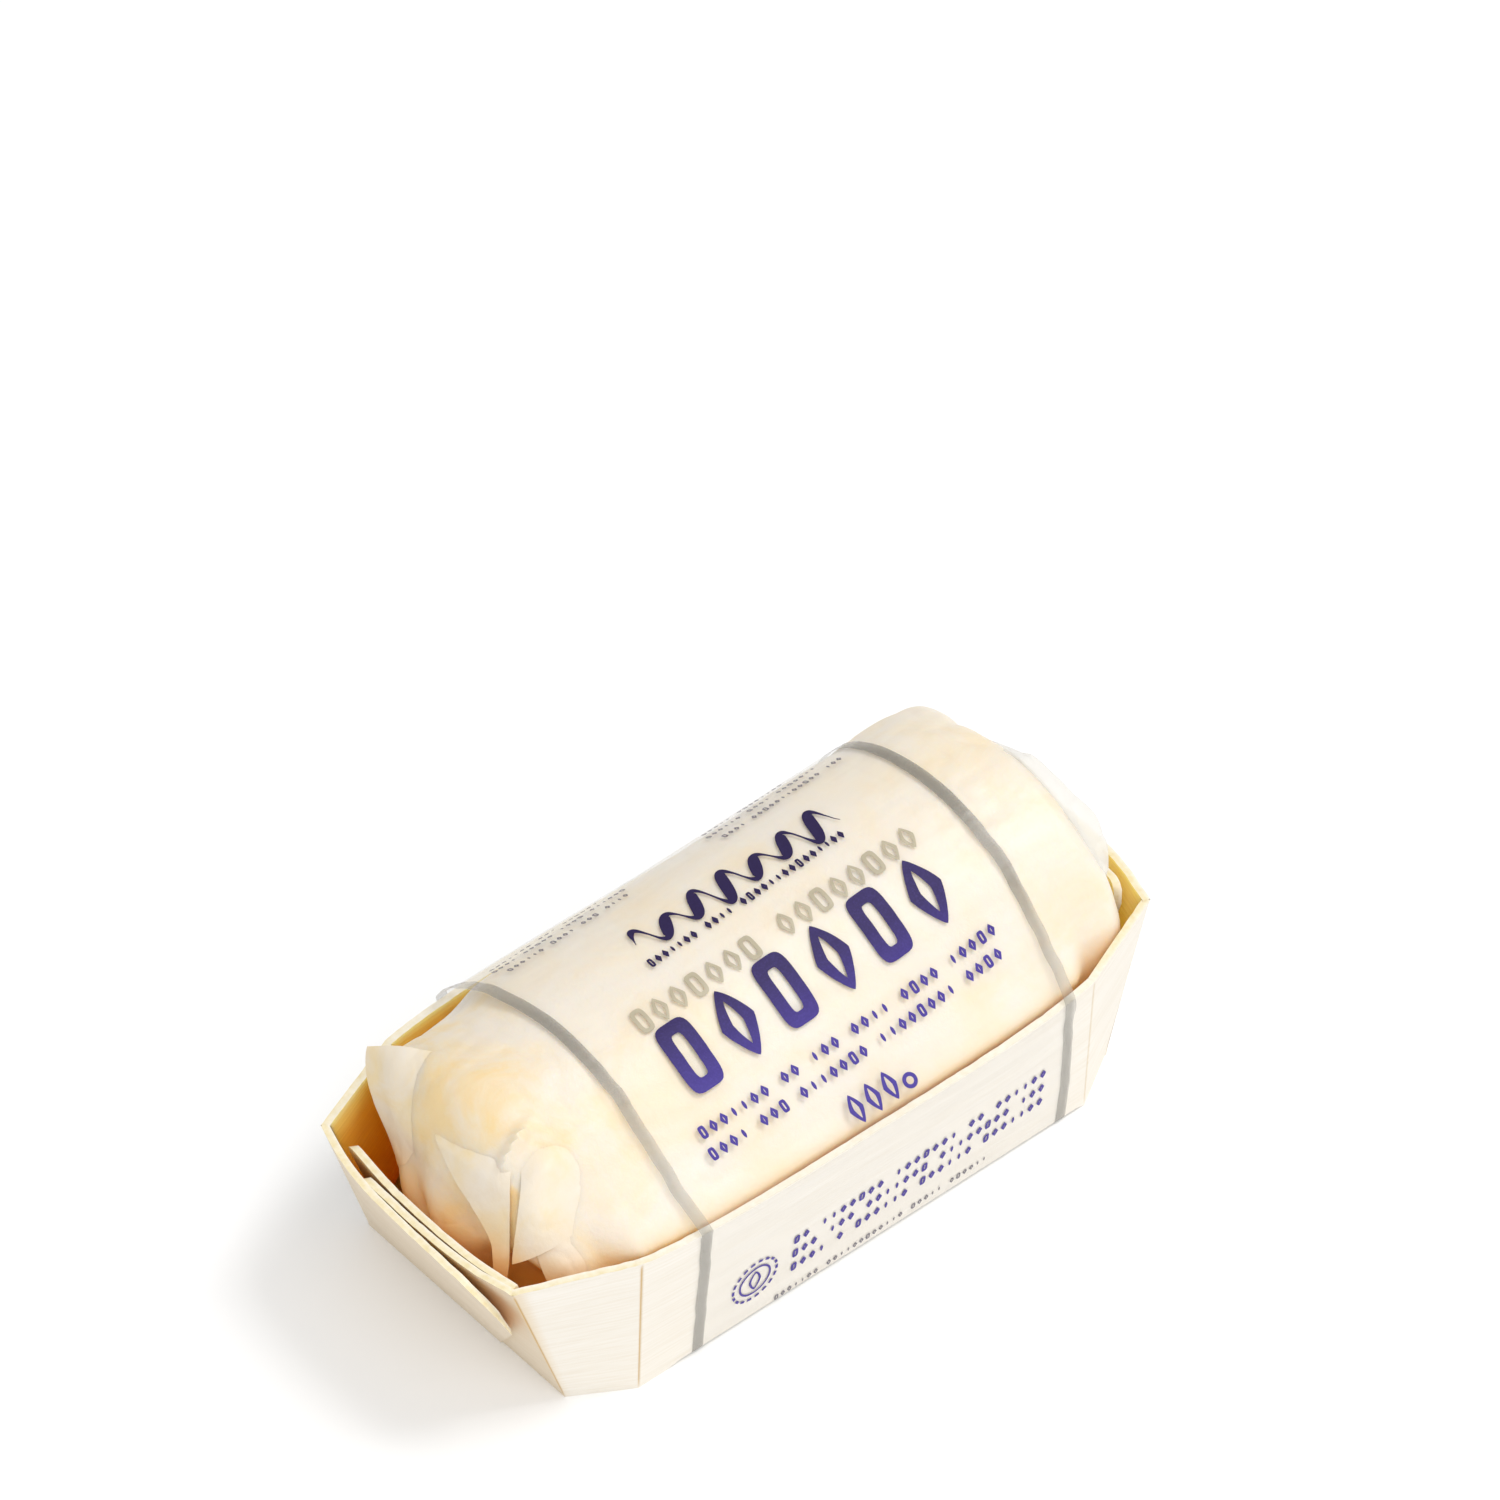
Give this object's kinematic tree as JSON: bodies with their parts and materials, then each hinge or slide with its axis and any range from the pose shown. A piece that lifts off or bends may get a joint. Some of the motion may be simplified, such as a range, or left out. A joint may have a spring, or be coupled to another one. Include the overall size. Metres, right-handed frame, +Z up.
{
  "type": "wrapped butter roll in a wood veneer tray",
  "caption": "Roll of butter folded in parchment, lying in a flared wood veneer tray, both held by a clear printed film sleeve.",
  "frame": {"origin": "middle of the base, on the surface that the pack stands on", "axes": "+X along the roll and the tray's length, +Y across the tray, +Z up"},
  "size_m": [0.1262, 0.0618, 0.0443],
  "materials": {
    "veneer": "smooth peeled veneer",
    "parchment": "greasy translucent parchment over butter",
    "clear_film": "clear glossy film"
  },
  "bodies": {
    "root": {"wood_tray": "veneer", "wrapped_roll": "parchment", "film_sleeve": "clear_film"}
  },
  "joints": []
}
